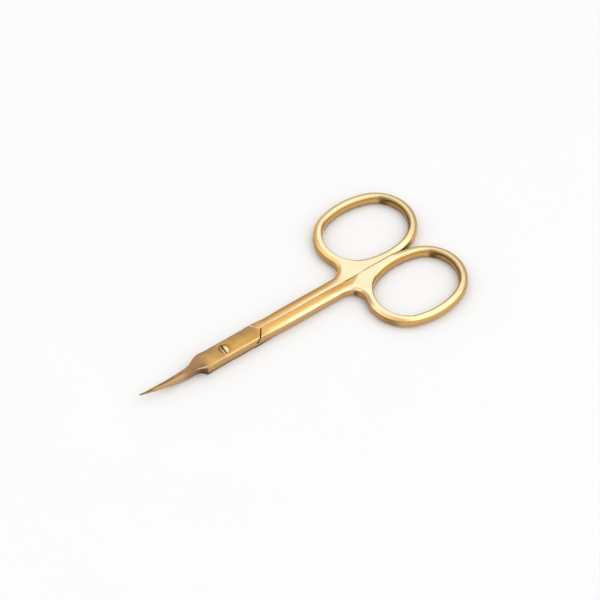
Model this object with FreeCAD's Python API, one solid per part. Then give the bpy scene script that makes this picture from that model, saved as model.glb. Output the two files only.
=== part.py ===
import FreeCAD, Part
import math
import os

# A pair of cuticle scissors, closed and lying flat, in millimetres and degrees.
# The origin is where the pivot's axis meets the surface that the scissors lie on.
# +X runs from the pivot to the tips, +Y to the lower half's ring, and +Z up.

# Lap joint
joint_thickness = 3.2
joint_width = 5.06
joint_edge_radius = 0.25
lap_gap = 0.04
nose_reach = 11.5
nose_shoulder_reach = 9.5
nose_lean = 0.8
nose_gap = 0.3
neck_reach = 6.8

# Blades
tip_reach = 26.3
blade_root_reach = 12.0
blade_root_width = 1.94
blade_tip_width = 0.2
blade_root_thickness = 2.3
blade_tip_thickness = 0.24
blade_bend_start = 11.0
blade_bend_radius = 57.0

# Shares of the blade's half width and half thickness
blade_edge_flare_share = 0.06
blade_edge_height_share = 0.85
blade_facet_share = 1.9
neck_scoop_share = 0.25

# Powers that curve the blade's taper and the ridge of its facet
blade_taper_power = 0.85
blade_facet_power = 3

# Where the blade's sections stand, from the neck to the tip
blade_station_shares = [0, 0.04, 0.1, 0.17, 0.25, 0.35, 0.5, 0.65, 0.8, 0.92, 1]

# Shanks
shank_width = 2.8
narrowing_reach = 20.0
seam_gap = 0.06
web_corner_radius = 3.6
handle_edge_radius = 0.6

# Finger rings
ring_thickness = 2.8
ring_top_fall = 0.1
ring_wire = 2.5
ring_reach = 53.0
finger_hole_length = 23.46
finger_hole_width = 17.84
finger_hole_end_radius = 8.35
ring_tilt = 2.07
ring_flat_depth = 0.26

# Pivot screw
head_diameter = 2.9
head_rim_height = 0.5
head_dome_height = 0.2
head_side_gap = 0.12
head_sink = 0.07
slot_width = 0.45
slot_depth = 0.42
slot_turn = -4.0
axle_diameter = 1.9
axle_gap = 0.05
thread_diameter = 1.6
thread_gap = 0.02
seat_gap = 0.02

# Every cut runs past the material by this much
overrun = 1.0

# Worked out from the sizes above
mid_height = joint_thickness / 2
joint_half_width = joint_width / 2
hole_half_length = finger_hole_length / 2
hole_half_width = finger_hole_width / 2
hole_side_radius = (
    (hole_half_length**2 - 2 * hole_half_length * finger_hole_end_radius + hole_half_width**2)
    / (2 * (hole_half_width - finger_hole_end_radius))
)
side_centre_offset = hole_side_radius - hole_half_width
end_centre_offset = hole_half_length - finger_hole_end_radius
ring_side = (
    hole_side_radius + ring_wire - ring_flat_depth
    - side_centre_offset * math.cos(math.radians(ring_tilt))
)


def point(x, y, z=0):
    return FreeCAD.Vector(x, y, z)


def line(start, end):
    return Part.LineSegment(start, end).toShape()


def short_arc(centre, radius, start, end):
    """The arc of less than half a turn from start to end."""
    middle = (start - centre) + (end - centre)
    middle.normalize()
    return Part.Arc(start, centre + middle * radius, end).toShape()


def polygon(points):
    return Part.makePolygon(points + [points[0]])


def prism(outline, bottom, top):
    """A flat outline at height zero, raised into a solid from bottom to top."""
    solid = Part.Face(outline).extrude(point(0, 0, top - bottom))
    solid.translate(point(0, 0, bottom))
    return solid


def across(points, width):
    """A side view, given as points in X and Z, made as wide as width about the middle."""
    outline = polygon([point(x, -width / 2, z) for x, z in points])
    return Part.Face(outline).extrude(point(0, width, 0))


def disc(diameter, bottom, top):
    return Part.makeCylinder(diameter / 2, top - bottom, point(0, 0, bottom))


def ring_point(along, aside):
    """A place given from the ring's centre, along and across the tilted oval."""
    tilt = math.radians(ring_tilt)
    x = along * math.cos(tilt) - aside * math.sin(tilt)
    y = along * math.sin(tilt) + aside * math.cos(tilt)
    return point(x - ring_reach, y + ring_side)


def oval_centres():
    """The centres of the oval's four arcs: seam side, rear end, outer side, front end."""
    return (
        ring_point(0, side_centre_offset),
        ring_point(-end_centre_offset, 0),
        ring_point(0, -side_centre_offset),
        ring_point(end_centre_offset, 0),
    )


def oval_joints(grow):
    """Where the oval's arcs meet, with the oval made larger all round by grow."""
    seam_side, rear, outer_side, front = oval_centres()
    radius = finger_hole_end_radius + grow
    joints = []
    for side_centre, end_centre in (
        (seam_side, rear), (outer_side, rear), (outer_side, front), (seam_side, front),
    ):
        direction = end_centre - side_centre
        direction.normalize()
        joints.append(end_centre + direction * radius)
    return joints


def finger_hole():
    seam_side, rear, outer_side, front = oval_centres()
    low_rear, high_rear, high_front, low_front = oval_joints(0)
    return Part.Wire([
        short_arc(rear, finger_hole_end_radius, low_rear, high_rear),
        short_arc(outer_side, hole_side_radius, high_rear, high_front),
        short_arc(front, finger_hole_end_radius, high_front, low_front),
        short_arc(seam_side, hole_side_radius, low_front, low_rear),
    ])


def handle_outline(front_x):
    """The shank, the web and the ring's outside, as one smooth line seen from above."""
    seam_side, rear, outer_side, front = oval_centres()
    low_rear, high_rear, high_front, _ = oval_joints(ring_wire)
    end_radius = finger_hole_end_radius + ring_wire
    side_radius = hole_side_radius + ring_wire

    # The web's hollow corner touches the shank's side and the ring's front end.
    corner_y = shank_width + web_corner_radius
    reach = end_radius + web_corner_radius
    corner_x = front.x + math.sqrt(reach**2 - (front.y - corner_y) ** 2)
    corner = point(corner_x, corner_y)
    to_ring = front - corner
    to_ring.normalize()
    corner_on_ring = corner + to_ring * web_corner_radius
    corner_on_shank = point(corner_x, shank_width)

    seam_end = point(seam_side.x, seam_side.y - side_radius)
    seam_front = point(front_x, seam_end.y)
    narrowing_start = point(-narrowing_reach, shank_width)
    shank_front = point(front_x, joint_half_width)
    return Part.Wire([
        line(seam_front, seam_end),
        short_arc(seam_side, side_radius, seam_end, low_rear),
        short_arc(rear, end_radius, low_rear, high_rear),
        short_arc(outer_side, side_radius, high_rear, high_front),
        short_arc(front, end_radius, high_front, corner_on_ring),
        short_arc(corner, web_corner_radius, corner_on_ring, corner_on_shank),
        line(corner_on_shank, narrowing_start),
        line(narrowing_start, shank_front),
        line(shank_front, seam_front),
    ])


def handle():
    """Shank, web and ring of the half on the +Y side, rounded along every long edge."""
    front_x = nose_lean - nose_shoulder_reach
    rear_x = -ring_reach - hole_half_length - ring_wire
    body = prism(handle_outline(front_x), 0, joint_thickness)
    body = body.cut(prism(finger_hole(), -overrun, joint_thickness + overrun))

    # Top and underside close in evenly from the joint's thickness to the ring's.
    ring_rise = joint_thickness - ring_top_fall - ring_thickness
    run = (rear_x - overrun - front_x) / (-ring_reach - front_x)
    high = joint_thickness - ring_top_fall * run
    low = ring_rise * run
    kept = across(
        [(front_x, 0), (front_x, joint_thickness), (rear_x - overrun, high), (rear_x - overrun, low)],
        2 * (2 * ring_side + overrun),
    )
    body = body.common(kept)

    edges = [
        edge for edge in body.Edges
        if (edge.BoundBox.ZMax < mid_height or edge.BoundBox.ZMin > mid_height)
        and edge.BoundBox.XMin < front_x - lap_gap
    ]
    body = body.makeFillet(handle_edge_radius, edges)

    # The two halves meet on flats ground along the middle.
    length = front_x - rear_x + 2 * overrun
    flat = Part.makeBox(
        length,
        ring_side,
        joint_thickness + 2 * overrun,
        point(rear_x - overrun, seam_gap / 2 - ring_side, -overrun),
    )
    return body.cut(flat)


def nose_lean_at(height):
    return nose_lean * (1 - abs(height - mid_height) / mid_height)


def plate_space(face_height, lap_height, nose_shift, margin):
    """The joint plate's space. Its pointed rear leans back towards the face."""
    side = joint_half_width + margin
    slope = (nose_reach - nose_shoulder_reach) / joint_half_width
    shoulder = nose_lean_at(lap_height) - nose_shoulder_reach - nose_shift + margin * slope
    apex = nose_lean_at(lap_height) - nose_reach - nose_shift
    front = neck_reach + margin
    beyond = front + nose_reach
    outline = polygon([
        point(beyond, -side, lap_height),
        point(beyond, side, lap_height),
        point(shoulder, side, lap_height),
        point(apex, 0, lap_height),
        point(shoulder, -side, lap_height),
    ])
    rise = face_height - lap_height
    lean = nose_lean_at(face_height) - nose_lean_at(lap_height)
    leaning = Part.Face(outline).extrude(point(lean, 0, rise))
    low_height = min(face_height, lap_height)
    upright = Part.makeBox(
        front + beyond, 2 * side, abs(rise), point(-beyond, -side, low_height)
    )
    return leaning.common(upright)


def plate(face_height, lap_height):
    body = plate_space(face_height, lap_height, 0, 0)
    long_edges = [
        edge for edge in body.Edges
        if abs(edge.BoundBox.ZMin - face_height) < lap_gap
        and abs(edge.BoundBox.ZMax - face_height) < lap_gap
        and edge.BoundBox.XLength > neck_reach
        and edge.BoundBox.YLength < lap_gap
    ]
    return body.makeFillet(joint_edge_radius, long_edges)


def lap_line(x):
    """Height of the surface on which the blades meet: flat, then bending up."""
    beyond = max(x - blade_bend_start, 0)
    return mid_height + blade_bend_radius - math.sqrt(blade_bend_radius**2 - beyond**2)


def taper(x, root, tip):
    """A size that falls from the blade's root to its tip, faster as it nears the tip."""
    share = (tip_reach - x) / (tip_reach - blade_root_reach)
    return tip + (root - tip) * share**blade_taper_power


def neck_share(x):
    """One at the neck's start, falling smoothly to zero at the blade's root."""
    share = max(blade_root_reach - x, 0) / (blade_root_reach - neck_reach)
    return share**2


def blade_size(x, joint_size, root, tip):
    """A hollow neck from the joint's size down to the blade's taper."""
    depth = joint_size - taper(neck_reach, root, tip)
    return taper(x, root, tip) + depth * neck_share(x)


def ridge_share(x):
    """Where the ridge between the top and the back's facet lies, 1 being the blade's back."""
    if x < blade_root_reach:
        along = (x - neck_reach) / (blade_root_reach - neck_reach)
        return 1 - neck_scoop_share * 4 * along * (1 - along)
    along = (x - blade_root_reach) / (tip_reach - blade_root_reach)
    return 1 - blade_facet_share * along**blade_facet_power


def blade_section(x, up):
    """One blade's section. up is 1 for the upper blade and -1 for the lower one."""
    half_width = blade_size(x, joint_width, blade_root_width, blade_tip_width) / 2
    half_height = blade_size(x, joint_thickness, blade_root_thickness, blade_tip_thickness) / 2
    lap = lap_line(x) + up * lap_gap / 2
    height = half_height - lap_gap / 2
    ground = 1 - neck_share(x)
    edge = half_width * (1 + blade_edge_flare_share * ground)
    edge_height = height * (1 - (1 - blade_edge_height_share) * ground)
    return polygon([
        point(x, -up * edge, lap),
        point(x, -up * half_width, lap + up * edge_height),
        point(x, up * half_width * ridge_share(x), lap + up * height),
        point(x, up * half_width, lap),
    ])


def blade(up):
    length = tip_reach - neck_reach
    sections = [blade_section(neck_reach + share * length, up) for share in blade_station_shares]
    return Part.makeLoft(sections, True, False)


def upper_half():
    """The half on top at the joint. Its handle is on the -Y side."""
    lap = mid_height + lap_gap / 2
    own_handle = handle().mirror(point(0, 0), point(0, 1, 0))
    pocket = plate_space(-overrun, lap, nose_gap, overrun)
    body = own_handle.cut(pocket)
    body = body.fuse([plate(joint_thickness, lap), blade(1)])

    recess_floor = joint_thickness - head_sink - head_dome_height - head_rim_height - seat_gap
    recess = disc(head_diameter + 2 * head_side_gap, recess_floor, joint_thickness + overrun)
    bore = disc(axle_diameter + 2 * axle_gap, 0, joint_thickness)
    return body.cut([recess, bore])


def lower_half():
    """The half underneath at the joint. Its handle is on the +Y side."""
    lap = mid_height - lap_gap / 2
    pocket = plate_space(joint_thickness + overrun, lap, nose_gap, overrun)
    body = handle().cut(pocket)
    body = body.fuse([plate(0, lap), blade(-1)])
    return body.cut(disc(thread_diameter + 2 * thread_gap, -overrun, joint_thickness))


def pivot_screw():
    """Domed and slotted head, smooth axle, and a threaded end ground flush underneath."""
    head_top = joint_thickness - head_sink
    rim_top = head_top - head_dome_height
    head_bottom = rim_top - head_rim_height
    axle_bottom = mid_height - lap_gap / 2 + seat_gap

    head_radius = head_diameter / 2
    dome_radius = (head_radius**2 + head_dome_height**2) / (2 * head_dome_height)
    head = disc(head_diameter, head_bottom, head_top)
    head = head.common(Part.makeSphere(dome_radius, point(0, 0, head_top - dome_radius)))
    slot = Part.makeBox(
        slot_width,
        head_diameter + overrun,
        slot_depth + overrun,
        point(-slot_width / 2, -(head_diameter + overrun) / 2, head_top - slot_depth),
    )
    slot.rotate(point(0, 0), point(0, 0, 1), slot_turn)
    axle = disc(axle_diameter, axle_bottom, head_bottom)
    thread = disc(thread_diameter, 0, axle_bottom)
    return head.cut(slot).fuse([axle, thread])


def write(name, shape):
    shape = shape.removeSplitter()
    box = shape.optimalBoundingBox()
    print(
        name, "valid", shape.isValid(), "solids", len(shape.Solids),
        "volume %.2f" % shape.Volume,
        "x %.2f %.2f y %.2f %.2f z %.2f %.2f" % (
            box.XMin, box.XMax, box.YMin, box.YMax, box.ZMin, box.ZMax
        ),
    )
    shape.exportStep(os.path.join("parts", name + ".step"))


os.makedirs("parts", exist_ok=True)
write("upper_half", upper_half())
write("lower_half", lower_half())
write("pivot_screw", pivot_screw())
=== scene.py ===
# %% [markdown]
# # Cuticle scissors
# A small pair of gold-coated cuticle scissors lies closed on a white table. Two forged halves
# cross at a lap joint, and a slotted screw holds them together. The solids are packed already,
# so this lesson gives them fine surfaces, a finish, a table, light and a camera.

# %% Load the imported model
import math

import bpy
import numpy as np
from mathutils import Matrix, Vector


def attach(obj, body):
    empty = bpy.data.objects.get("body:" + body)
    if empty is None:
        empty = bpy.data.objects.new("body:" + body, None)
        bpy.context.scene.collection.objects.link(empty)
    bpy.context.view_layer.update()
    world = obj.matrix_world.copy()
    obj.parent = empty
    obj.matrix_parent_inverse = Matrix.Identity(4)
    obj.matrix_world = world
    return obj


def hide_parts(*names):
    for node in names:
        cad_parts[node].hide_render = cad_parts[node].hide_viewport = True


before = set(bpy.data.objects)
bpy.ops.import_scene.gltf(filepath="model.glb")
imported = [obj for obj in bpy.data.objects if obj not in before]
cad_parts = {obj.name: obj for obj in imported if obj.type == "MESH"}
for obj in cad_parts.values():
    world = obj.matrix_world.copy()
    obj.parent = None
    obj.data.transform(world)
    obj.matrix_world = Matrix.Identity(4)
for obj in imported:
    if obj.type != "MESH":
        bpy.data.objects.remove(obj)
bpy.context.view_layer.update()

# %% [markdown]
# ## Sizes
# Sizes are in millimetres, as on a workshop drawing, and become metres when a mesh is made. The
# origin is on the pivot's axis at the table, +X runs to the tips and +Z up. The lower half's
# finger ring is on the +Y side.

# %% Sizes of the joint, shanks and rings
MM = 0.001
FAR = 99.0  # a distance larger than any here, for a surface that isn't there

joint_thickness, joint_half_width, neck_reach = 3.2, 2.53, 6.8
lap_height, relief_floor = 1.58, 1.05
nose_reach, nose_shoulder_reach, nose_lean, nose_gap = 11.5, 9.62, 0.8, 0.36
shank_width, seam_half_gap, web_corner = 2.8, 0.03, 3.6
ring_wire, ring_reach, ring_flat = 2.5, 53.0, 0.26
ring_tilt = math.radians(2.07)
tilt_cos, tilt_sin = math.cos(ring_tilt), math.sin(ring_tilt)
polish_loss = 0.008
hole_half_length, hole_half_width, hole_end = 11.73, 8.92, 8.35

nose_slope = (nose_reach - nose_shoulder_reach) / joint_half_width
hole_side = (hole_half_length**2 - 2 * hole_half_length * hole_end + hole_half_width**2) / (
    2 * (hole_half_width - hole_end))
side_offset, end_offset = hole_side - hole_half_width, hole_half_length - hole_end
ring_side = hole_side + ring_wire - ring_flat - side_offset * tilt_cos
print("ring centre", -ring_reach, round(ring_side, 3), "side arc radius", round(hole_side, 2))

# %% [markdown]
# ## A forging as one smooth function
# A forged and polished half has no flat boxes in it: the shank's crown runs into the web, and the
# web into the ring. Bevels on a boxy mesh can't follow that. Here each half is a function that
# says how far a point is from the metal's surface, negative inside. Unions, cuts and rounded
# edges are then a line of arithmetic each, and the exact slope of the function shades the mesh.


# %% Rounded cuts and smooth changes
def rounded(first, second, radius):
    """Keeps what is inside both shapes, and rounds the edge where their surfaces meet."""
    corner = np.hypot(np.maximum(first + radius, 0), np.maximum(second + radius, 0))
    return np.minimum(np.maximum(first, second), -radius) + corner


def ease(value, start, end):
    """Zero before start, one after end, and smooth between, for arrays and for node sockets."""
    if hasattr(value, "eased"):
        return value.eased(start, end)
    share = np.clip((value - start) / (end - start), 0, 1)
    return share * share * (3 - 2 * share)


def fade(value, start, end):
    """One before start, zero after end, and smooth between."""
    return 1 - ease(value, start, end)


def window(value, start, full, fading, end):
    """One from full to fading, zero before start and after end."""
    return ease(value, start, full) * fade(value, fading, end)


def blend(first, second, share):
    """The number a share of the way from the first to the second."""
    return first + (second - first) * share


def finger_hole(x, y):
    """Distance from the oval finger hole's edge, negative in the hole. Four arcs make the oval."""
    x, y = x + ring_reach, y - ring_side
    along = np.abs(x * tilt_cos + y * tilt_sin)
    aside = np.abs(y * tilt_cos - x * tilt_sin)
    at_end = along * side_offset > (aside + side_offset) * end_offset
    end_arc = np.hypot(along - end_offset, aside) - hole_end
    side_arc = np.hypot(along, aside + side_offset) - hole_side
    return np.where(at_end, end_arc, side_arc)


hole_front = finger_hole(np.array(-41.28), np.array(11.6))
print("hole edge at the ring's front", round(float(hole_front), 3))

# %% [markdown]
# ## The handle's outline
# Seen from above, the handle is a strip for the shank, a ring round the hole, and a hollow corner
# where the web joins them. The corner is an arc that touches both, so its centre is found from
# the two distances it has to keep. Where one form runs into the next, a pair of numbers gives the
# start and end of the change, counted from the pivot towards the rings.

# %% The handle's outline
shank_widens = (9.5, 20.0)
front_x = -ring_reach + end_offset * tilt_cos
front_y = ring_side + end_offset * tilt_sin
corner_y = shank_width + web_corner
corner_x = front_x + math.sqrt((hole_end + ring_wire + web_corner) ** 2 - (front_y - corner_y) ** 2)
lowest_x = -ring_reach - side_offset * tilt_sin
print("web corner centre", round(corner_x, 2), round(corner_y, 2))


def handle_outside(x, y):
    """Distance from the outside of shank, web and ring, negative inside, without the seam."""
    ring = finger_hole(x, y) - ring_wire + polish_loss
    narrowing = (shank_width - joint_half_width) * fade(-x, *shank_widens)
    shank = np.where(x > corner_x, y - shank_width + narrowing, FAR)
    to_x, to_y = x - corner_x, y - corner_y
    above = to_x * (front_y - corner_y) - to_y * (front_x - corner_x)
    web = np.where((to_x <= 0) & (above <= 0), web_corner - np.hypot(to_x, to_y), FAR)
    return np.where(x > lowest_x, np.minimum(np.minimum(ring, shank), web), ring)


# %% [markdown]
# ## Crown of shank and ring
# Hand polishing leaves no face quite flat. The top of shank, web and ring falls away towards the
# outside in one long round, so a highlight follows the whole handle. Towards the seam the shank
# falls a little too. That inner fall gets wider and steeper near the web and runs out in an arc,
# which leaves the small golden wedge between the shanks.

# %% How far the polished top falls below its full height
outer_reach, outer_radius, ring_outer_reach, ring_outer_radius = 2.0, 4.2, 1.65, 2.8
crown_line, web_crown_line, seam_slope, web_seam_slope = 0.9, 2.5, 0.05, 0.16
shank_power, web_power = 2.0, 1.25  # how the inner fall curves: a parabola, nearly a plane
run_out_start, run_out_length, run_out_power = -38.0, 5.0, 1.5
shank_dip, plate_crown_radius = 0.06, 26.0

crown_starts, dip_ends = (10.0, 15.0), (14.0, 24.0)
wedge_widens, ring_crown_starts = (27.0, 37.5), (35.0, 44.0)
level_stretch, level_sides = (39.5, 43.0, 52.0, 57.0), (3.5, 8.0)  # no outer fall between the rings


def ridge_line(x):
    """How far from the seam the fall towards the seam begins."""
    run_out = 1 - np.clip((run_out_start - x) / run_out_length, 0, 1) ** run_out_power
    return np.maximum(blend(crown_line, web_crown_line, ease(-x, *wedge_widens)) * run_out, 1e-6)


def polished_fall(x, y, from_outside, seam_share):
    """Fall of the top, in millimetres, at a place and at its distance from the outside."""
    begin = ease(-x, *crown_starts)
    steep = ease(-x, *wedge_widens)
    width = ridge_line(x)
    slope = seam_share * begin * blend(seam_slope, web_seam_slope, steep)
    power = blend(shank_power, web_power, steep)
    inner = slope * width / power * np.clip(1 - np.maximum(y, 0) / width, 0, 1) ** power
    on_ring = ease(-x, *ring_crown_starts)
    reach = blend(outer_reach, ring_outer_reach, on_ring)
    radius = blend(outer_radius, ring_outer_radius, on_ring)
    beyond = np.clip(reach - from_outside, 0, reach)
    level = window(-x, *level_stretch) * fade(y, *level_sides)
    outer = begin * (1 - level) * (radius - np.sqrt(radius**2 - beyond**2))
    return inner + outer + shank_dip * fade(-x, *dip_ends)


seam_fall = polished_fall(np.array(-38.0), np.array(0.0), np.array(5.0), 1.0)
print("fall at the seam", round(float(seam_fall), 3), "mm")

# %% [markdown]
# ## One function for both halves
# Turned over about the long axis, one half is nearly the other, so both come from one function of
# their own place: the handle on +Y, the joint plate underneath. What differs is passed in: the
# two faces of the ring, which swap places, and the holes for the screw. The seam's edge is kept
# square beside the wedge, and behind the wedge it is cut back to a fine groove.

# %% Sizes of the faces, edges and holes
# Each face: how far it closes in at the ring, its outer edge's radius, and how much rounder than
# elsewhere the finger hole's edge is on the ring.
table_face, top_face = (0.3, 0.3, 0.1), (0.1, 0.45, 0.85)
lower_seam_share, upper_seam_share = 1.0, 0.15
thread_hole, axle_hole, head_hole, head_seat = 0.82, 1.0, 1.48, 0.79

hole_edge, nose_edge, relief_edge, screw_hole_edge = 0.3, 0.05, 0.03, 0.05
front_edge_share, plate_edge, neck_edge = 0.35, 0.25, 0.06
square_seam, seam_groove = 0.2, 0.15
handle_front, taper_start, plate_narrows, plate_crown_ends = 8.0, 8.7, 4.0, 4.5
nose_steepness = 1.37  # the slope of the nose's slanted face, which makes its distance true

edge_grows, hole_rounding_grows = (9.0, 17.0), (40.5, 46.5)
square_stretch, groove_opens = (24.0, 28.0, 38.0, 41.0), (37.5, 40.0)


# %% The half as a function
def nose_line(y, z, shift, straight=False):
    """X of the plate's pointed rear at a height. It leans, so its face reaches back further."""
    above = z - joint_thickness / 2
    lean = nose_lean * (1 - (above if straight else np.abs(above)) / (joint_thickness / 2))
    return lean - nose_reach - shift + nose_slope * np.abs(y)


def handle(x, y, z, low, high, seam_share):
    """Shank, web and ring between their low and high faces, with the pocket for the other nose."""
    low_rise, low_edge, low_round = low
    high_fall, high_edge, high_round = high
    outside = handle_outside(x, y)
    beside_wedge = square_seam * window(-x, *square_stretch)
    outline = np.maximum(outside, np.where(x > lowest_x, -ring_flat - beside_wedge - y, -FAR))
    fall = polished_fall(x, y, -outside, seam_share)
    taper = np.maximum(-x - taper_start, 0) / (ring_reach - taper_start)
    above = z - (joint_thickness - high_fall * taper - fall)
    below = low_rise * taper + fall - z
    begin = blend(front_edge_share, 1.0, ease(-x, *edge_grows))
    body = rounded(above, outline, high_edge * begin)
    body = rounded(below, body, low_edge * begin)
    hole, on_ring = finger_hole(x, y), ease(-x, *hole_rounding_grows)
    body = rounded(body, -hole, hole_edge)
    body = np.maximum(body, rounded(above, -hole, hole_edge + high_round * on_ring))
    body = np.maximum(body, rounded(below, -hole, hole_edge + low_round * on_ring))
    body = np.maximum(body, seam_half_gap - y)
    groove = seam_half_gap + seam_groove * ease(-x, *groove_opens) - y
    body = np.maximum(body, (np.maximum(above, below) + groove) * math.sqrt(0.5))
    pocket = np.maximum(lap_height - z, (nose_line(y, z, nose_gap) - x) / nose_steepness)
    return np.maximum(rounded(body, -pocket, nose_edge), x + handle_front)


def joint_plate(x, y, z):
    """The plate under the lap, crowned on its outer face, with a pointed nose at its rear."""
    narrows = ease(x, plate_narrows, neck_reach)
    crown = y**2 / (2 * plate_crown_radius) * fade(x, plate_crown_ends, neck_reach)
    plate = rounded(crown - z, np.abs(y) - joint_half_width, blend(plate_edge, neck_edge, narrows))
    plate = rounded(plate, (nose_line(y, z, 0) - x) / nose_steepness, nose_edge)
    return np.maximum(np.maximum(plate, z - lap_height), x - neck_reach)


def half(x, y, z, low, high, seam_share, screw_holes):
    """Distance from the surface of a half's handle and joint plate, negative in the metal."""
    metal = np.minimum(handle(x, y, z, low, high, seam_share), joint_plate(x, y, z))
    before_relief = (nose_line(y, z, nose_gap, straight=True) - x) / nose_steepness
    behind_relief = x - nose_line(y, z, 0, straight=True)
    relief = np.maximum(np.maximum(relief_floor - z, before_relief), behind_relief)
    metal = rounded(metal, -relief, relief_edge)
    for radius, floor in screw_holes:
        metal = rounded(metal, -np.maximum(np.hypot(x, y) - radius, z - floor), screw_hole_edge)
    return metal


def lower_metal(x, y, z):
    return half(x, y, z, table_face, top_face, lower_seam_share, [(thread_hole, FAR)])


def upper_metal(x, y, z):
    screw_holes = [(head_hole, head_seat), (axle_hole, FAR)]
    return half(x, -y, joint_thickness - z, top_face, table_face, upper_seam_share, screw_holes)


plate_depth = lower_metal(*np.array([[4.0], [0.0], [0.8]]))[0]
print("depth of the lower plate's middle", round(float(plate_depth), 2))

# %% [markdown]
# ## From a function to a mesh
# A grid of cells is laid over the shape. Where the function changes sign along a cell's edge, the
# surface crosses, and its slope there is the surface's direction. Each crossed cell gets one
# vertex, at the place that fits all its crossings best, which keeps sharp edges sharp. This is
# dual contouring.

# %% Slope and crossings
slope_step = 0.002
crossing_rounds = 4  # each round narrows a crossing's place further


def slope_at(metal, points):
    """Unit vectors that point out of the metal at the given points."""
    slopes = np.empty_like(points)
    for axis, shift in enumerate(slope_step * np.eye(3)):
        slopes[:, axis] = metal(*(points + shift).T) - metal(*(points - shift).T)
    return slopes / np.maximum(np.linalg.norm(slopes, axis=1, keepdims=True), 1e-12)


def grid_points(grid, index):
    """The places of the grid's points with these index numbers."""
    return np.stack([line[numbers] for line, numbers in zip(grid, index.T)], 1)


def crossings(metal, grid, values, axis):
    """Where the surface crosses the grid's lines along one axis, and the four cells round each."""
    inside = values < 0
    ahead, behind = [slice(None)] * 3, [slice(None)] * 3
    ahead[axis], behind[axis] = slice(1, None), slice(None, -1)
    index = np.argwhere(inside[tuple(ahead)] != inside[tuple(behind)])
    unit, side, up = np.roll(np.eye(3, dtype=int), -axis, axis=0)
    start, end = grid_points(grid, index), grid_points(grid, index + unit)
    low, high = values[tuple(index.T)], values[tuple((index + unit).T)]
    ends_inside = high < 0
    for _ in range(crossing_rounds):
        middle = start + (end - start) * (low / (low - high))[:, None]
        value = metal(*middle.T)
        same = (value < 0) == (low < 0)
        start, low = np.where(same[:, None], middle, start), np.where(same, value, low)
        end, high = np.where(same[:, None], end, middle), np.where(same, high, value)
    around = np.stack([index, index - side, index - side - up, index - up], 1)
    around[ends_inside] = around[ends_inside][:, ::-1]
    return middle, around


# %% [markdown]
# The best place in a cell is a small least-squares problem: near all the planes through its
# crossings, and not far from their middle.

# %% Contouring
middle_pull = 0.02  # holds a vertex near the middle where the planes leave it free
corner_inset = 0.3


def contour(metal, grid):
    """Vertices and quads of the surface where the function is zero, on a grid of three lists."""
    values = metal(*np.meshgrid(*grid, indexing="ij"))
    found = [crossings(metal, grid, values, axis) for axis in range(3)]
    places = np.concatenate([places for places, _ in found])
    around = np.concatenate([cells for _, cells in found])
    shape = [len(line) for line in grid]
    keys = np.ravel_multi_index(tuple(around.reshape(-1, 3).T), shape)
    cells, quads = np.unique(keys, return_inverse=True)
    quads = quads.reshape(-1, 4)
    owner, count = quads.ravel(), np.bincount(quads.ravel())

    def cell_sums(table):
        return np.stack([np.bincount(owner, column) for column in table.T], 1)

    slopes = np.repeat(slope_at(metal, places), 4, axis=0)
    spread = np.repeat(places, 4, axis=0)
    middle = cell_sums(spread) / count[:, None]
    offset = (slopes * (spread - middle[owner])).sum(1, keepdims=True)
    products = (slopes[:, :, None] * slopes[:, None]).reshape(-1, 9)
    system = cell_sums(products).reshape(-1, 3, 3)
    system += middle_pull * np.eye(3) * count[:, None, None]
    right = cell_sums(slopes * offset)
    vertices = middle + np.linalg.solve(system, right[..., None])[..., 0]
    corner = np.stack(np.unravel_index(cells, shape), 1)
    far_corner = np.minimum(corner + 1, np.array(shape) - 1)
    return np.clip(vertices, grid_points(grid, corner), grid_points(grid, far_corner)), quads


def corner_slopes(metal, vertices, quads):
    """The surface's direction at each corner, read a little inside its face: edges stay crisp."""
    corners = vertices[quads]
    centres = corners.mean(1, keepdims=True)
    return slope_at(metal, blend(corners, centres, corner_inset).reshape(-1, 3))


def steps(*stops):
    """Grid lines from stop to stop, with the spacing that stands between two stops."""
    lines = [np.array([stops[0]])]
    for start, spacing, end in zip(stops[:-2:2], stops[1:-1:2], stops[2::2]):
        count = max(1, round((end - start) / spacing))
        lines.append(np.linspace(start, end, count + 1)[1:])
    return np.concatenate(lines)


def shell(name, metal, grid, top=None):
    """Vertices, quads and corner directions of a shape that stands on the table."""
    vertices, quads = contour(metal, grid)
    vertices[:, 2] = vertices[:, 2].clip(0, top)
    print(name, "quads", len(quads), "box", vertices.min(0).round(3), vertices.max(0).round(3))
    return vertices, quads, corner_slopes(metal, vertices, quads)


# %% Mesh both handles with their joint plates
along_lines = steps(-67.6, 0.2, -36.0, 0.33, -12.4, 0.13, 7.1)
aside_lines = steps(-2.86, 0.14, -0.2, 0.07, 0.15, 0.13, 3.4, 0.16, 22.9)
height_lines = steps(-0.13, 0.149, 3.33)
shells = {
    name: shell(name, metal, (along_lines, lines, height_lines), joint_thickness)
    for name, metal, lines in (
        ("lower", lower_metal, aside_lines),
        ("upper", upper_metal, -aside_lines[::-1]),
    )
}

# %% [markdown]
# ## Shader and field maths as Python
# Node trees get long when each sum is a node made by hand. A small class wraps a socket, and its
# operators build the Math nodes. It serves the materials and the blades' Geometry Nodes.


# %% Node maths
def operator(kind):
    """An operator for sockets, and its reflected form, so that 1.0 - mask works too."""
    return (lambda a, b: a.math(kind, a, b)), (lambda b, a: b.math(kind, a, b))


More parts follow.
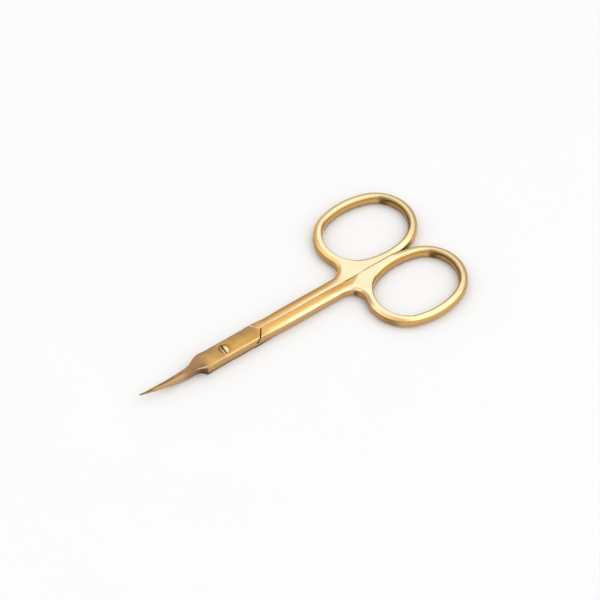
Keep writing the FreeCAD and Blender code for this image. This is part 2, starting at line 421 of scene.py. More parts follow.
class Socket:
    """A node's output that can be used in a formula."""

    def __init__(self, tree, socket):
        self.tree, self.socket = tree, socket

    def math(self, kind, *values):
        return self.tree.add("ShaderNodeMath", {"operation": kind}, list(values))

    __add__, __radd__ = operator("ADD")
    __sub__, __rsub__ = operator("SUBTRACT")
    __mul__, __rmul__ = operator("MULTIPLY")
    __truediv__, __rtruediv__ = operator("DIVIDE")
    __mod__, __rmod__ = operator("MODULO")
    __pow__, __rpow__ = operator("POWER")

    def __neg__(self):
        return self.math("MULTIPLY", self, -1.0)

    def __abs__(self):
        return self.math("ABSOLUTE", self)

    def __floordiv__(self, other):
        return self.math("FLOOR", self / other)

    def root(self):
        return self.math("SQRT", self)

    def top(self, other):
        return self.math("MAXIMUM", self, other)

    def least(self, other):
        return self.math("MINIMUM", self, other)

    def eased(self, start, end):
        return self.tree.add("ShaderNodeMapRange", {"interpolation_type": "SMOOTHSTEP"},
                             {0: self, 1: start, 2: end, 3: 0.0, 4: 1.0})


class Tree:
    """Adds nodes of any type to one node tree."""

    def __init__(self, tree):
        self.tree = tree
        self.tree.nodes.clear()

    def add(self, kind, settings=None, inputs=(), output=0):
        node = self.tree.nodes.new(kind)
        for key, value in (settings or {}).items():
            setattr(node, key, value)
        for key, value in inputs.items() if isinstance(inputs, dict) else enumerate(inputs):
            if isinstance(value, Socket):
                self.tree.links.new(value.socket, node.inputs[key])
            else:
                node.inputs[key].default_value = value
        return Socket(self, node.outputs[output]) if len(node.outputs) else node

    def split(self, vector, kind="ShaderNodeSeparateXYZ"):
        """The three parts of a vector or colour."""
        first = self.add(kind, {}, [vector])
        return [first] + [Socket(self, first.socket.node.outputs[number]) for number in (1, 2)]

    def mix(self, share, first, second):
        """A colour between two colours."""
        first, second = [
            value if isinstance(value, Socket) else (*value, 1.0) for value in (first, second)]
        return self.add("ShaderNodeMix", {"data_type": "RGBA"}, {0: share, 6: first, 7: second}, 2)

    def layered(self, colour, shades, layers):
        """Lays named shades over a colour, each by its share."""
        for shade, share in layers:
            colour = self.mix(share, colour, shades[shade])
        return colour

    def scaled(self, vector, factors):
        return self.add("ShaderNodeVectorMath", {"operation": "MULTIPLY"}, [vector, factors])

    def noise(self, place, scale, detail, roughness=0.5):
        """Soft random values round a half. A single number as place gives noise along a line."""
        along_line = place.socket.type == "VALUE"
        return self.add(
            "ShaderNodeTexNoise", {"noise_dimensions": "1D" if along_line else "3D"},
            {"W" if along_line else "Vector": place, "Scale": scale, "Detail": detail,
             "Roughness": roughness})

    def metal(self, colour, roughness, strength, relief):
        """A polished metal with a fine relief, as the tree's surface."""
        bump = self.add("ShaderNodeBump", {}, {
            "Strength": strength, "Distance": 0.004 * MM, "Height": relief})
        shader = self.add("ShaderNodeBsdfPrincipled", {}, {
            "Base Color": colour, "Metallic": 1.0, "Roughness": roughness, "Normal": bump})
        self.add("ShaderNodeOutputMaterial", {}, {"Surface": shader})
        print("material nodes", len(self.tree.nodes))


def shader_tree(owner):
    """The empty node tree of a material or a world."""
    owner.use_nodes = True
    return Tree(owner.node_tree)


# %% [markdown]
# A Geometry Nodes tree needs inputs with names, an end that makes a real mesh with its material,
# and a modifier that runs it. These functions do that for the blades and for the thread.


# %% Geometry Nodes helpers
def new_object(name, data):
    """A new object in the scene."""
    item = bpy.data.objects.new(name, data)
    bpy.context.scene.collection.objects.link(item)
    return item


def geometry_tree(name, sizes):
    """An empty tree with a named input for each size, and the inputs as sockets."""
    group = bpy.data.node_groups.new(name, "GeometryNodeTree")
    tree = Tree(group)
    for key, value in sizes.items():
        item = group.interface.new_socket(key, in_out="INPUT", socket_type="NodeSocketFloat")
        item.default_value = value
    group.interface.new_socket("Material", in_out="INPUT", socket_type="NodeSocketMaterial")
    group.interface.new_socket("Geometry", in_out="OUTPUT", socket_type="NodeSocketGeometry")
    source = group.nodes.new("NodeGroupInput")
    return tree, {key: Socket(tree, source.outputs[key]) for key in [*sizes, "Material"]}


def finish_tree(tree, mesh, material):
    mesh = tree.add("GeometryNodeRealizeInstances", {}, [mesh])
    mesh = tree.add("GeometryNodeSetMaterial", {}, {0: mesh, 2: material})
    tree.add("NodeGroupOutput", {}, [mesh])
    return tree.tree


def mesh_from_nodes(group, inputs):
    """The plain mesh that a node group makes, with its named inputs set by identifier."""
    holder = new_object(group.name, bpy.data.meshes.new(group.name))
    modifier = holder.modifiers.new(group.name, "NODES")
    modifier.node_group = group
    identifiers = {item.name: item.identifier for item in group.interface.items_tree}
    for name, value in inputs.items():
        modifier[identifiers[name]] = value
    evaluated = holder.evaluated_get(bpy.context.evaluated_depsgraph_get())
    mesh = bpy.data.meshes.new_from_object(evaluated)
    bpy.data.objects.remove(holder)
    print(group.name, "vertices", len(mesh.vertices), "faces", len(mesh.polygons))
    return mesh


# %% [markdown]
# ## Blades by Geometry Nodes
# A blade follows a rule: its width and thickness shrink along a taper, its neck is hollow, and
# both blades bend up together. A grid is laid along the blade, its columns wrapped round the
# four corners of each section, and fields put every point in place. Each corner is two columns
# that stand a little apart, which gives the ground edges their thin bright line. The inputs are
# the drawing's sizes, so the same tree makes both blades.

# %% The blade's tree
blade_sizes = {
    "Side": 1.0, "Neck Reach": neck_reach, "Root Reach": 12.0, "Tip Reach": 26.3,
    "Joint Half Width": joint_half_width, "Joint Half Thickness": joint_thickness / 2,
    "Root Half Width": 0.97, "Root Half Thickness": 1.15,
    "Tip Half Width": 0.1, "Tip Half Thickness": 0.12, "Taper Power": 0.85,
    "Bend Start": 11.0, "Bend Radius": 57.0, "Middle Height": joint_thickness / 2,
    "Lap Half Gap": 0.02, "Edge Flare": 0.06, "Edge Height": 0.85, "Facet": 1.9, "Scoop": 0.08,
    "Bevel": 0.05, "Near Hollow": 0.42, "Far Fullness": 0.2,
}
stations, columns_round = 72, 8
root_overlap = 0.02  # how far the blade's root reaches into the plate
hump_peak, swell_peak = 4.0, 6.75  # make t (1 - t) and t (1 - t) squared reach one
upper_hollow_share, bevel_limit = 0.64, 0.3


def blade_tree():
    tree, size = geometry_tree("ground blade", blade_sizes)
    rows = stations + 2  # one more at each end, which closes the blade to a point
    index = tree.add("GeometryNodeInputIndex")
    row, column = index % float(rows), index // float(rows)
    share = ((row - 1.0) / float(stations - 1)).top(0.0).least(1.0)
    plate_end, root, tip = (size[f"{part} Reach"] for part in ("Neck", "Root", "Tip"))
    start = plate_end - root_overlap
    x = start + (tip - start) * share

    neck_length, blade_length = root - plate_end, tip - root
    in_neck = ((x - plate_end) / neck_length).top(0.0).least(1.0)
    in_blade = ((x - root) / blade_length).top(0.0)
    left = (root - x).top(0.0) / neck_length
    neck = (left * left).least(1.0)
    neck_taper = ((tip - plate_end) / blade_length) ** size["Taper Power"]
    taper = (((tip - x) / blade_length).top(0.0) ** size["Taper Power"]).least(neck_taper)

    def tapered(kind):
        joint, base, end = (size[f"{part} Half {kind}"] for part in ("Joint", "Root", "Tip"))
        extra = joint - (end + (base - end) * neck_taper)
        return end + (base - end) * taper + extra * neck

    width, height = tapered("Width"), tapered("Thickness") - size["Lap Half Gap"]
    ground = 1.0 - neck
    scoop = size["Scoop"] * hump_peak * in_neck * (1.0 - in_neck)
    ridge = 1.0 - scoop - size["Facet"] * in_blade ** 3.0
    beyond = (x - size["Bend Start"]).top(0.0)
    side, bend_radius, fullness = size["Side"], size["Bend Radius"], size["Far Fullness"]
    bend = bend_radius - (bend_radius ** 2.0 - beyond * beyond).root()
    lap = size["Middle Height"] + bend + side * size["Lap Half Gap"]
    edge = width * (1.0 + size["Edge Flare"] * ground)
    shoulder = height * (1.0 - (1.0 - size["Edge Height"]) * ground)

    swell = in_neck * (1.0 - in_neck) ** 2.0 * swell_peak
    is_upper = 0.5 + 0.5 * side
    near_hollow = size["Near Hollow"] * blend(1.0, upper_hollow_share, is_upper)
    mean, half_range = (fullness - near_hollow) * 0.5, (fullness + near_hollow) * 0.5
    edge_share = 1.0 + swell * (mean + side * half_range)
    back_share = 1.0 + swell * (mean - side * half_range)
    ridge_share = 1.0 + swell * fullness * (1.0 - is_upper)
    corners = [
        (-(side * edge) * edge_share, lap),
        (-(side * width) * edge_share, lap + side * shoulder),
        (side * width * ridge * ridge_share, lap + side * height),
        (side * width * back_share, lap),
    ]
    middle_y, middle_z = (sum(values) * 0.25 for values in zip(*corners))

    def towards(start, end):
        """The point a bevel's width from start on the way to end, or nearer on a short way."""
        gap_y, gap_z = end[0] - start[0], end[1] - start[1]
        length = (gap_y * gap_y + gap_z * gap_z).root()
        part = (size["Bevel"] / length.top(MM)).least(bevel_limit)
        return start[0] + gap_y * part, start[1] + gap_z * part

    columns = []
    for before, corner, after in zip(corners[-1:] + corners, corners, corners[1:] + corners[:1]):
        columns += [towards(corner, before), towards(corner, after)]
    columns.append(columns[0])
    from_middle = abs(row - 0.5 * (rows - 1))
    is_end = from_middle.math("GREATER_THAN", from_middle, 0.5 * rows - 0.75)  # first and last row

    choice = tree.tree.nodes.new("GeometryNodeIndexSwitch")
    choice.data_type = "VECTOR"
    while len(choice.index_switch_items) < len(columns):
        choice.index_switch_items.new()
    tree.tree.links.new(column.socket, choice.inputs["Index"])
    for number, (y, z) in enumerate(columns):
        y, z = y + (middle_y - y) * is_end, z + (middle_z - z) * is_end
        point = tree.add("ShaderNodeCombineXYZ", {}, [x, y, z])
        tree.tree.links.new(point.socket, choice.inputs[number + 1])
    place = tree.add("ShaderNodeVectorMath", {"operation": "SCALE"},
                     {0: Socket(tree, choice.outputs[0]), 3: MM})

    mesh = tree.add("GeometryNodeMeshGrid", {}, {2: columns_round + 1, 3: rows})
    mesh = tree.add("GeometryNodeSetPosition", {}, {0: mesh, 2: place})
    mesh = tree.add("GeometryNodeMergeByDistance", {}, {0: mesh, 2: 0.0005 * MM})
    return finish_tree(tree, mesh, size["Material"])


# %% Make the two blades
gold = bpy.data.materials.new("gold coated steel")
blade_group = blade_tree()
blades = {name: mesh_from_nodes(blade_group, {"Side": side, "Material": gold})
          for name, side in (("upper", 1.0), ("lower", -1.0))}

# %% [markdown]
# ## Joining blade and handle
# The blade's normals come from its faces, split where two facets meet, and the handle's from the
# function's slope. Both are written as the mesh's own normals, so a polished face reflects
# smoothly, whatever the size of its quads.

# %% One piece from a contoured shell and a mesh made by nodes
facet_angle = math.radians(24)


def places(mesh):
    """A mesh's vertices as an array in millimetres."""
    points = np.empty(len(mesh.vertices) * 3)
    mesh.vertices.foreach_get("co", points)
    return points.reshape(-1, 3) / MM


def mesh_arrays(mesh):
    """A closed mesh's vertices in millimetres, its faces, and a normal for each face corner."""
    if sum(face.center.dot(face.normal) * face.area for face in mesh.polygons) < 0:
        mesh.flip_normals()
    mesh.set_sharp_from_angle(angle=facet_angle)
    faces = [list(face.vertices) for face in mesh.polygons]
    normals = np.empty(len(mesh.loops) * 3, np.float32)
    mesh.corner_normals.foreach_get("vector", normals)
    return places(mesh), faces, normals.reshape(-1, 3)


def joined_piece(name, shell_arrays, other, material):
    """A new object with the surfaces and the normals of both, and those normals as an array."""
    vertices, quads, slopes = shell_arrays
    points, faces, normals = mesh_arrays(other)
    faces = quads.tolist() + [[index + len(vertices) for index in face] for face in faces]
    mesh = bpy.data.meshes.new(name)
    mesh.from_pydata(np.concatenate([vertices, points]) * MM, [], faces)
    mesh.materials.append(material)
    mesh.polygons.foreach_set("use_smooth", np.ones(len(mesh.polygons), bool))
    normals = np.concatenate([slopes, normals])
    mesh.normals_split_custom_set(normals)
    print(name, "faces", len(mesh.polygons))
    return new_object(name, mesh), normals


# %% [markdown]
# Four shares are written on every corner of the mesh: how much it is a side wall, buffed, under
# painted shade that stands in for dark reflections, or inside a narrow gap, which gets painted
# shade too. A pale painted highlight goes with the buff, and painted shade with the wall. They
# follow from where the corner is and where it faces.


# %% Finish and painted light shares on every corner of the mesh
def write_finish_and_painted_light(mesh, normals):
    """Writes wall, buff and painted highlight, painted shade and gap shade as a colour on the
    corners.
    """
    corners = np.empty(len(mesh.loops), np.int64)
    mesh.loops.foreach_get("vertex_index", corners)
    x, y = places(mesh)[corners, :2].T
    tips, flat = normals[:, 0], np.abs(normals[:, 2])
    tilt = np.sqrt(np.maximum(1 - flat**2, 1e-6))
    on_ring = ease(-x, 42.0, 46.0)
    at_seam = np.abs(y) < 0.15
    beside_wedge = at_seam * window(-x, 24.0, 29.0, 38.0, 39.5)
    in_hole = on_ring * (finger_hole(x, np.abs(y)) < -handle_outside(x, np.abs(y)))

    # Side walls are never buffed, and their darker colour is partly painted shade. In a finger hole
    # the wall's share reaches far up the rounding.
    wall = fade(flat, blend(0.25, 0.7, in_hole), blend(0.8, 0.99, in_hole))
    wall = wall * (1 - 0.9 * beside_wedge)

    # Webs and rings are buffed on top, and a pale painted highlight goes with it, but not in the
    # wedge beside the seam.
    in_wedge = (y > 0) * fade(y, ridge_line(x) - 0.15, ridge_line(x)) * (1 - on_ring)
    buffed_and_painted_highlight = ease(-x, 33.0, 41.0) * ease(flat, 0.96 - 0.08 * on_ring, 0.995) * (1 - in_wedge)

    # Walls that face the tips get painted shade, a stand-in for dark reflections: in the web's
    # corners and at the rear of the holes. The near web's outer fall and the rounding above the
    # rear walls get half as much.
    facing_tips = ease(tips, 0.60, 0.72) * (1 - 0.7 * ease(tips, 0.74, 0.98))
    painted_shade = wall * ease(-x, 37.5, 39.0) * facing_tips
    painted_shade = painted_shade * np.where(in_hole > 0, 1.0, fade(-x, 39.5, 43.0))
    front_fall = window(y, 4.4, 5.6, 9.5, 11.5) * fade(-x, 42.0, 44.0)
    front_fall = front_fall * ease(tips, 0.08, 0.3) * (1 - wall)
    rear_round = in_hole * ease(-x, 50.0, 54.0) * ease(tilt, 0.14, 0.36)
    rear_round = rear_round * ease(tips / tilt, 0.60, 0.72)
    painted_shade = np.maximum(painted_shade, np.maximum(0.45 * front_fall, 0.5 * rear_round))

    # Painted shade in the gaps: the nose's, the seam's, and the fork where the two rings part.
    nose = ease(np.abs(tips), 0.5, 0.7) * window(x, -12.6, -12.3, -8.2, -7.9)
    seam = ease(np.abs(normals[:, 1]), 0.7, 0.9) * at_seam * (1 - beside_wedge)
    fork = window(-x, 52.0, 54.0, 60.0, 62.0) * fade(np.abs(y), 0.6, 1.6) * fade(flat, 0.5, 0.8)
    gap_shade = np.maximum(np.maximum(nose, seam * (0.55 - 0.35 * ease(-x, 38.0, 40.0))), 0.6 * fork)

    shares = np.stack([wall, buffed_and_painted_highlight, painted_shade, gap_shade], 1).astype(np.float32)
    colours = mesh.color_attributes.new("finish_and_painted_light", "FLOAT_COLOR", "CORNER")
    colours.data.foreach_set("color", shares.ravel())
    print("mean shares", shares.mean(0).round(3))


# %% Build both halves
halves = {}
for name in ("upper", "lower"):
    halves[name], normals = joined_piece(name + "_half_forging", shells[name], blades[name], gold)
    write_finish_and_painted_light(halves[name].data, normals)

# %% [markdown]
# ## The pivot screw
# The screw is turned: a domed head with a sawn slot, a smooth axle and a threaded end that is
# ground flush underneath. The head is worn a little hollow along the slot. The same contouring
# makes it, on a much finer grid, so that slot and rim get their small rounded edges.

# %% The screw's body
head_top, head_radius, head_bottom, dome_height = 3.16, 1.45, 2.43, 0.1
slot_half_width, slot_depth, slot_turn = 0.225, 0.42, math.radians(-4)
hollow_depth, hollow_reach, hollow_power = 0.17, 1.3, 1.1
axle_radius, axle_bottom, axle_top = 0.95, 1.6, 2.6
core_radius, core_top = 0.66, 1.7
rim_edge, head_edge, slot_edge, end_edge = 0.06, 0.03, 0.035, 0.02
dome_radius = (head_radius**2 + dome_height**2) / (2 * dome_height)


def across_slot(x, y):
    return x * math.cos(slot_turn) + y * math.sin(slot_turn)


def screw_metal(x, y, z):
    """Distance from the surface of the screw's head, axle and threaded core."""
    radius, from_slot = np.hypot(x, y), np.abs(across_slot(x, y))
    dome = np.sqrt(x**2 + y**2 + (z - head_top + dome_radius) ** 2) - dome_radius
    dome = dome + hollow_depth * (1 - np.minimum(from_slot / hollow_reach, 1)) ** hollow_power
    head = rounded(rounded(radius - head_radius, dome, rim_edge), head_bottom - z, head_edge)
    slot = np.maximum(from_slot - slot_half_width, head_top - slot_depth - z)
    head = rounded(head, -slot, slot_edge)
    axle = np.maximum(np.maximum(radius - axle_radius, axle_bottom - z), z - axle_top)
    core = rounded(np.maximum(radius - core_radius, z - core_top), -z, end_edge)
    return np.minimum(np.minimum(head, axle), core)


screw_lines = (
    steps(-1.52, 0.05, 1.52), steps(-1.53, 0.05, 1.53), steps(-0.04, 0.13, 2.3, 0.035, 3.2))
screw_shell = shell("screw", screw_metal, screw_lines)

# %% [markdown]
# The thread repeats along a path, which is a job for Geometry Nodes: a spiral curve, a small
# triangle as its profile, and Curve to Mesh between them.

# %% The screw's thread
thread_sizes = {"Pitch": 0.35, "Turns": 3.8, "Root Radius": 0.69, "Start Height": 0.16}
points_in_turn, profile_share = 48, 0.3
screw_finish = bpy.data.materials.new("polished screw")


def thread_tree():
    tree, size = geometry_tree("screw thread", thread_sizes)
    radius = size["Root Radius"] * MM
    path = tree.add("GeometryNodeCurveSpiral", {}, {
        "Resolution": points_in_turn, "Rotations": size["Turns"], "Start Radius": radius,
        "End Radius": radius, "Height": size["Turns"] * size["Pitch"] * MM})
    lift = tree.add("ShaderNodeCombineXYZ", {}, [0.0, 0.0, size["Start Height"] * MM])
    path = tree.add("GeometryNodeSetPosition", {}, {0: path, 3: lift})
    profile = tree.add("GeometryNodeCurvePrimitiveCircle", {}, {
        "Resolution": 3, "Radius": size["Pitch"] * (profile_share * MM)})
    mesh = tree.add("GeometryNodeCurveToMesh", {}, {
        "Curve": path, "Profile Curve": profile, "Fill Caps": True})
    return finish_tree(tree, mesh, size["Material"])


thread = mesh_from_nodes(thread_tree(), {"Material": screw_finish})
screw_piece, _ = joined_piece("slotted_pivot_screw", screw_shell, thread, screw_finish)

# %% [markdown]
# ## The coating
# The steel carries a thin gold-coloured coating. Rings and webs are buffed, the shanks a little
# less, and a pale painted highlight lies on their tops and crowns. Joint and blades keep a satin
# grind, where the coating looks browner, and painted shade darkens their far side, tips and neck.
# Walls, hollows and gaps get painted shade too. The finish follows the place along the scissors,
# in millimetres, and the four shares on the mesh. Grinding lines, fine scratches and a faint
# cloudiness come from stretched noise.

# %% Shades of the coating, and of painted highlight and shade
golds = {
    "warm": (0.88, 0.57, 0.22), "shank": (0.76, 0.455, 0.14), "painted_highlight_stripe": (0.98, 0.81, 0.58),
    "rose": (0.86, 0.43, 0.19), "buffed_and_painted_highlight": (0.99, 0.83, 0.54), "deep": (0.95, 0.74, 0.37),
    "shank side": (0.45, 0.28, 0.13), "joint": (0.60, 0.345, 0.09),
    "joint edge": (0.98, 0.77, 0.43), "joint front": (0.50, 0.33, 0.13),
    "joint cloud": (0.72, 0.46, 0.15), "joint side": (0.30, 0.185, 0.105),
    "rosy": (0.43, 0.24, 0.14), "neck": (0.24, 0.135, 0.085), "blade": (0.42, 0.245, 0.115),
    "near facet": (0.76, 0.50, 0.27), "far facet": (0.30, 0.19, 0.10), "tip": (0.20, 0.125, 0.07),
    "wall": (0.64, 0.385, 0.14), "low wall": (0.36, 0.225, 0.10), "foot": (0.12, 0.07, 0.035),
    "scratch": (0.45, 0.27, 0.1), "painted_shade": (0.14, 0.075, 0.03), "notch": (0.13, 0.065, 0.04),
    "rim": (0.98, 0.76, 0.42), "crease": (0.98, 0.78, 0.45), "gap": (0.09, 0.048, 0.014),
}
rim_side, rim_slope = 5.06, 0.41


# %% The gold material
def gold_material(material):
    tree = shader_tree(material)
    place = tree.add("ShaderNodeTexCoord", output=3)
    x, y, z = (part / MM for part in tree.split(place))
    finish_and_painted_light = tree.add("ShaderNodeAttribute", {"attribute_name": "finish_and_painted_light"})
    wall, buffed_and_painted_highlight, painted_shade = tree.split(finish_and_painted_light, "ShaderNodeSeparateColor")
    gap_shade = Socket(tree, finish_and_painted_light.socket.node.outputs["Alpha"])
    grinding = tree.noise(tree.scaled(place, (180.0, 5200.0, 5200.0)), 1.0, 3.0, 0.6)
    filing = tree.noise(tree.scaled(place, (2600.0, 500.0, 500.0)), 1.0, 2.0)
    cloud = tree.noise(place, 260.0, 2.0)
    haze = tree.noise(place, 900.0, 4.0, 0.65)

    # Shanks and rings: painted highlight as long pale stripes on the crowns and on pale webs,
    # toned down to a deeper gold on far parts.
    satin, blade, top = ease(x, -12.0, -9.5), ease(x, 4.5, 8.5), 1.0 - wall
    near_highlight_stripe = ease(y, 1.2, 2.7) * (0.9 - 0.55 * ease(x, -26.0, -13.0))
    far_highlight_stripe = fade(-y, 0.2, 1.2) * fade(y, -0.03, 0.03)
    painted_highlight_stripe = near_highlight_stripe + far_highlight_stripe * (0.35 + 0.65 * fade(x, -34.0, -13.0))
    far_painted_highlight = far_highlight_stripe * fade(x, -32.0, -18.0) * top
    deep = (ease(-x, 54.0, 64.0) * 0.6).top(ease(y, 14.0, 20.0) * 0.5)
    far_shank_shade = ease(-y, 1.2, 2.3) * ease(x, -36.0, -28.0)

    # Joint and blades: painted shade on the far side, towards the tips and in the hollow neck,
    # over the satin grind's browner coating.
    far_side = fade(y, -2.6, -0.2) * satin
    neck = window(x, 6.6, 7.2, 9.0, 12.5) * (0.35 + 0.45 * ease(y, 0.2, 1.2))
    near_facet = ease(x, 11.5, 13.5) * ease(y, 0.05, 0.4)
    far_facet = 1.0 - near_facet
    rosy_cloud = ease(cloud, 0.46, 0.64) * satin * (1.0 - 0.75 * ease(y, -0.6, 0.9))

    # Painted shade in the notch under the neck, painted highlight on the rim above it and on the
    # crease at the upper half's nose.
    notch = window(x, 6.55, 6.7, 7.6, 10.4) * ease(y, 0.7, 1.3) * fade(z, 2.6, 3.0)
    rim = fade(abs(y - rim_side + rim_slope * x), 0.10, 0.24) * ease(z, 2.6, 2.9)
    rim = rim * window(x, 6.4, 6.8, 8.5, 10.0)
    crease = fade(abs(x + nose_reach + nose_slope * y), 0.08, 0.2)
    crease = crease * ease(z, 2.7, 2.9) * fade(y, -0.3, 0.0)

    layers = (
        ("painted_highlight_stripe", painted_highlight_stripe * top * ease(x, -42.0, -37.0)),
        ("rose", ease(cloud, 0.45, 0.62) * (1.0 - satin) * 0.35),
        ("buffed_and_painted_highlight", buffed_and_painted_highlight.top(far_painted_highlight * 0.8)),
        ("deep", buffed_and_painted_highlight * deep),
        # Painted shade on the far shank's outer side.
        ("shank side", far_shank_shade * 0.4),
        ("joint", satin),
        # Painted highlight along the plate's near top edge, painted shade towards its front.
        ("joint edge", satin * ease(y, 1.7, 2.5) * 0.7),
        ("joint front", satin * ease(x, -3.0, 4.0) * 0.45),
        # Blades: browner satin coating with painted shade, and more painted shade in the hollow
        # neck.
        ("blade", blade),
        ("neck", neck),
        # Painted highlight on the near facet, painted shade on the far facet, darker towards the
        # tips.
        ("near facet", near_facet * 0.8),
        ("far facet", ease(x, 11.5, 15.0) * far_facet * 0.5),
        ("tip", ease(x, 17.0, 21.0) * far_facet * 0.5),
        # Painted shade in rosy brown on the far side, darkest at the far edge.
        ("rosy", far_side * 0.75),
        ("joint side", far_side * ease(-y, 1.4, 2.4) * 0.5),
        ("rosy", rosy_cloud * 0.6),
        ("joint cloud", fade(cloud, 0.34, 0.5) * satin * 0.5),
        # Walls: darker coating with painted shade, more low down, and a painted shadow along the
        # foot.
        ("wall", wall * (1.0 - blade * 0.6) * 0.9),
        ("low wall", fade(z, 0.0, 1.9) * wall * 0.8),
        ("foot", fade(z, 0.3, 1.0) * wall * 0.85),
        ("scratch", ease((grinding - 0.5) * (0.25 + 0.35 * satin), 0.0, 0.35) * 0.25),
        # Painted shade on walls facing the tips, in the notch and in the gaps; painted highlight on
        # rim and crease.
        ("painted_shade", painted_shade),
        ("notch", notch * 0.75),
        ("rim", rim * 0.7),
        ("crease", crease),
        ("gap", gap_shade),
    )
    colour = tree.mix(ease(x, -42.0, -35.0), golds["warm"], golds["shank"])
    colour = tree.layered(colour, golds, layers)

    # Buffed tops are smoothest, the satin grind is roughest, and noise varies both a little.
    rough = 0.13 + 0.07 * (1.0 - buffed_and_painted_highlight) + 0.17 * satin + 0.08 * wall
    rough = rough + (grinding - 0.5) * 0.12 + (haze - 0.5) * 0.08
    relief = grinding * (0.25 + 0.75 * satin) + filing * (0.5 * blade) + haze * 0.2
    tree.metal(colour, rough.top(0.06), 0.25, relief)


gold_material(gold)

# %% [markdown]
# ## The screw's finish
# The screw is turned and polished before it is fitted, so its fine marks run round its axis: a
# noise that is read by radius only gives rings. Its colour is a paler gold, darker beside the
# slot on the side of the tips, where the head's hollow turns away from the light.

# %% The screw material
screw_golds = {
    "pale": (0.95, 0.76, 0.46), "warm": (0.86, 0.60, 0.28), "rear": (0.50, 0.30, 0.13),
    "dark streak": (0.17, 0.09, 0.04), "light streak": (0.50, 0.34, 0.19),
    "far": (0.40, 0.24, 0.11), "rim": (0.36, 0.22, 0.10), "slot": (0.13, 0.075, 0.03),
}


def screw_material(material):
    tree = shader_tree(material)
    place = tree.add("ShaderNodeTexCoord", output=3)
    x, y, _ = (part / MM for part in tree.split(place))
    radius, across = (x * x + y * y).root(), across_slot(x, y)
    turned = tree.noise(radius * 9.0, 1.0, 3.0)
    streaks = tree.noise(across * 2.6, 1.0, 1.0)
    haze = tree.noise(place, 2500.0, 3.0)
    in_slot = fade(abs(across), 0.19, 0.24)
    streaky = tree.mix(
        ease(streaks, 0.42, 0.6), screw_golds["dark streak"], screw_golds["light streak"])
    shades = {**screw_golds, "streaky": streaky}
    # Painted shade on the rings' side, streaked on the tips' side, on the far side, rim and slot.
    layers = (
        ("rear", ease(-across, 0.6, 1.2) * 0.75),
        ("streaky", ease(across, -0.1, 0.3) * 0.92),
        ("far", ease(-across, 0.1, 0.3) * ease(-y, 0.0, 0.9) * 0.65),
        # A painted highlight on the near part of the tips' side.
        ("pale", window(across, 0.1, 0.3, 0.4, 0.6) * ease(y, 0.1, 0.5) * 0.7),
        ("rim", ease(radius, 1.15, 1.45) * 0.6),
        ("slot", in_slot),
    )
    colour = tree.layered(tree.mix(haze * 0.5, shades["pale"], shades["warm"]), shades, layers)
    rough = (0.16 + (turned - 0.5) * 0.12 + (haze - 0.5) * 0.1).top(0.06)
    tree.metal(colour, rough + in_slot * 0.3, 0.2, turned + haze * 0.4)


screw_material(screw_finish)

# %% [markdown]
# ## Fitting the pieces to the moving model
# Each finished piece stands for its solid and rides on the body that the joints move.

# %% Ride and replace
for piece, node, slot in (
    (halves["upper"], "upper_half", "gold_coated_steel"),
    (halves["lower"], "lower_half", "gold_coated_steel"),
    (screw_piece, "pivot_screw", "polished_screw"),
):
    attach(piece, node)
    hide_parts(node)
    print(piece.name, "stands for", node)

# %% [markdown]
# ## Table
# The scissors lie on a plain white table: one large matt sheet, which noise makes a little uneven.

# %% The table
table_size, table_roughness, table_gloss = 6.0, 0.9, 0.1
white_shades = (0.95, 0.95, 0.95), (0.965, 0.965, 0.965)
bpy.ops.mesh.primitive_grid_add(
    x_subdivisions=8, y_subdivisions=8, size=table_size, location=(0, 0, 0))
table = bpy.context.object
table.name = "table"
white = bpy.data.materials.new("white table")
tree = shader_tree(white)
grain = tree.noise(tree.add("ShaderNodeTexCoord", output=3), 40.0, 2.0)
shader = tree.add("ShaderNodeBsdfPrincipled", {}, {
    "Base Color": tree.mix(grain, *white_shades), "Roughness": table_roughness,
    "Specular IOR Level": table_gloss})
tree.add("ShaderNodeOutputMaterial", {}, {"Surface": shader})
table.data.materials.append(white)
print("table", tuple(round(length, 2) for length in table.dimensions), "m")

# %% [markdown]
# ## Light
# Metal shows what surrounds it, so the light is built as a small studio tent: grey sides, a
# little brighter to the left and right of the scissors, that brighten quickly halfway up to a
# white roof. The roof is dimmer on the tips' side, which keeps the blades darker. Two soft lamps
# draw the long highlights on the crowns and open the shadows.

# %% The tent and the lamps
side_light, roof_light, tips_dimming = 0.41, 0.88, 0.48
far_side_light, near_side_light = 0.2, 0.27
lamp_distance, lamp_size = 1.1, 1.2
scissors_middle = Vector((-0.02, 0, 0))

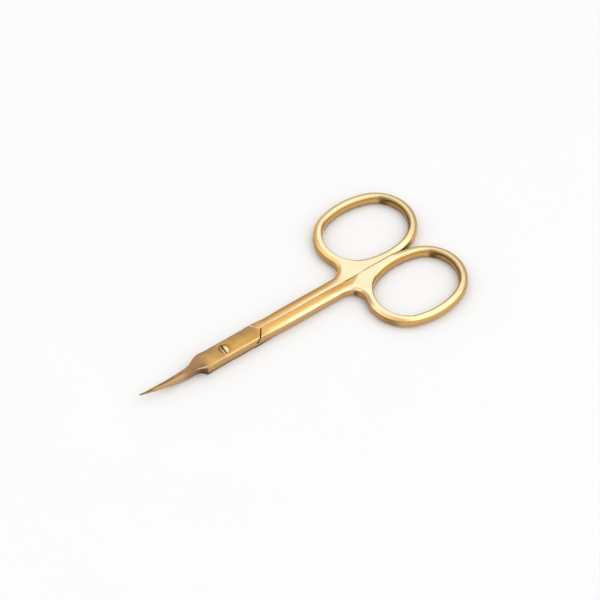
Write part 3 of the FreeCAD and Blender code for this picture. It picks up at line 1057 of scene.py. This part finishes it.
world = bpy.data.worlds.new("studio tent")
bpy.context.scene.world = world
tree = shader_tree(world)
towards_tips, aside, height = tree.split(tree.add("ShaderNodeTexCoord", output=0))
roof = ease(height, 0.35, 1.0) * (1.0 - tips_dimming * ease(towards_tips, -0.25, 0.1))
sides = (far_side_light * ease(-aside, 0.35, 0.75)
         + near_side_light * ease(aside, 0.45, 0.85)) * (1.0 - roof)
background = tree.add("ShaderNodeBackground", {}, {
    "Color": (1.0, 1.0, 1.0, 1.0), "Strength": side_light + roof_light * roof + sides})
tree.add("ShaderNodeOutputWorld", {}, {"Surface": background})

for name, towards, power in (
    ("highlight lamp", (-0.36, 0.46, 0.81), 2.8),
    ("fill lamp", (0.55, -0.35, 0.76), 1.88),
):
    data = bpy.data.lights.new(name, "AREA")
    data.shape, data.size, data.energy = "SQUARE", lamp_size, power
    lamp = new_object(name, data)
    way = Vector(towards).normalized()
    lamp.location = scissors_middle + way * lamp_distance
    lamp.rotation_euler = way.to_track_quat("Z", "Y").to_euler()
    print(name, power, "W at", [round(value, 3) for value in lamp.location])

# %% [markdown]
# ## Camera
# The picture was taken from above the tips' right side with a long lens. The direction, distance
# and lens come from matching the outline of the solids to the photograph.

# %% The camera
azimuth, elevation = math.radians(144.266), math.radians(51.439)
lens_pixels, pixels_per_mm, picture_pixels = 6000.0, 3.8963, 600
origin_column, origin_row = 223.921, 356.475  # where the pivot's foot is seen
sensor_width = 36.0

right = Vector((math.cos(azimuth), math.sin(azimuth), 0))
back = Vector((math.sin(azimuth) * math.cos(elevation), -math.cos(azimuth) * math.cos(elevation),
               math.sin(elevation)))
up = back.cross(right)
aim_right = (picture_pixels / 2 - origin_column) / pixels_per_mm
aim_up = (origin_row - picture_pixels / 2) / pixels_per_mm
distance = lens_pixels / pixels_per_mm
data = bpy.data.cameras.new("camera")
data.sensor_width, data.lens = sensor_width, sensor_width * lens_pixels / picture_pixels
data.clip_start, data.clip_end = 0.1, 20.0
camera = new_object("camera", data)
turn = Matrix((right, up, back)).transposed().to_4x4()
place = back * distance + right * aim_right + up * aim_up
camera.matrix_world = Matrix.Translation(place * MM) @ turn
bpy.context.scene.camera = camera
bpy.context.scene.view_settings.view_transform = "Standard"
print("camera at", [round(value, 4) for value in camera.location])
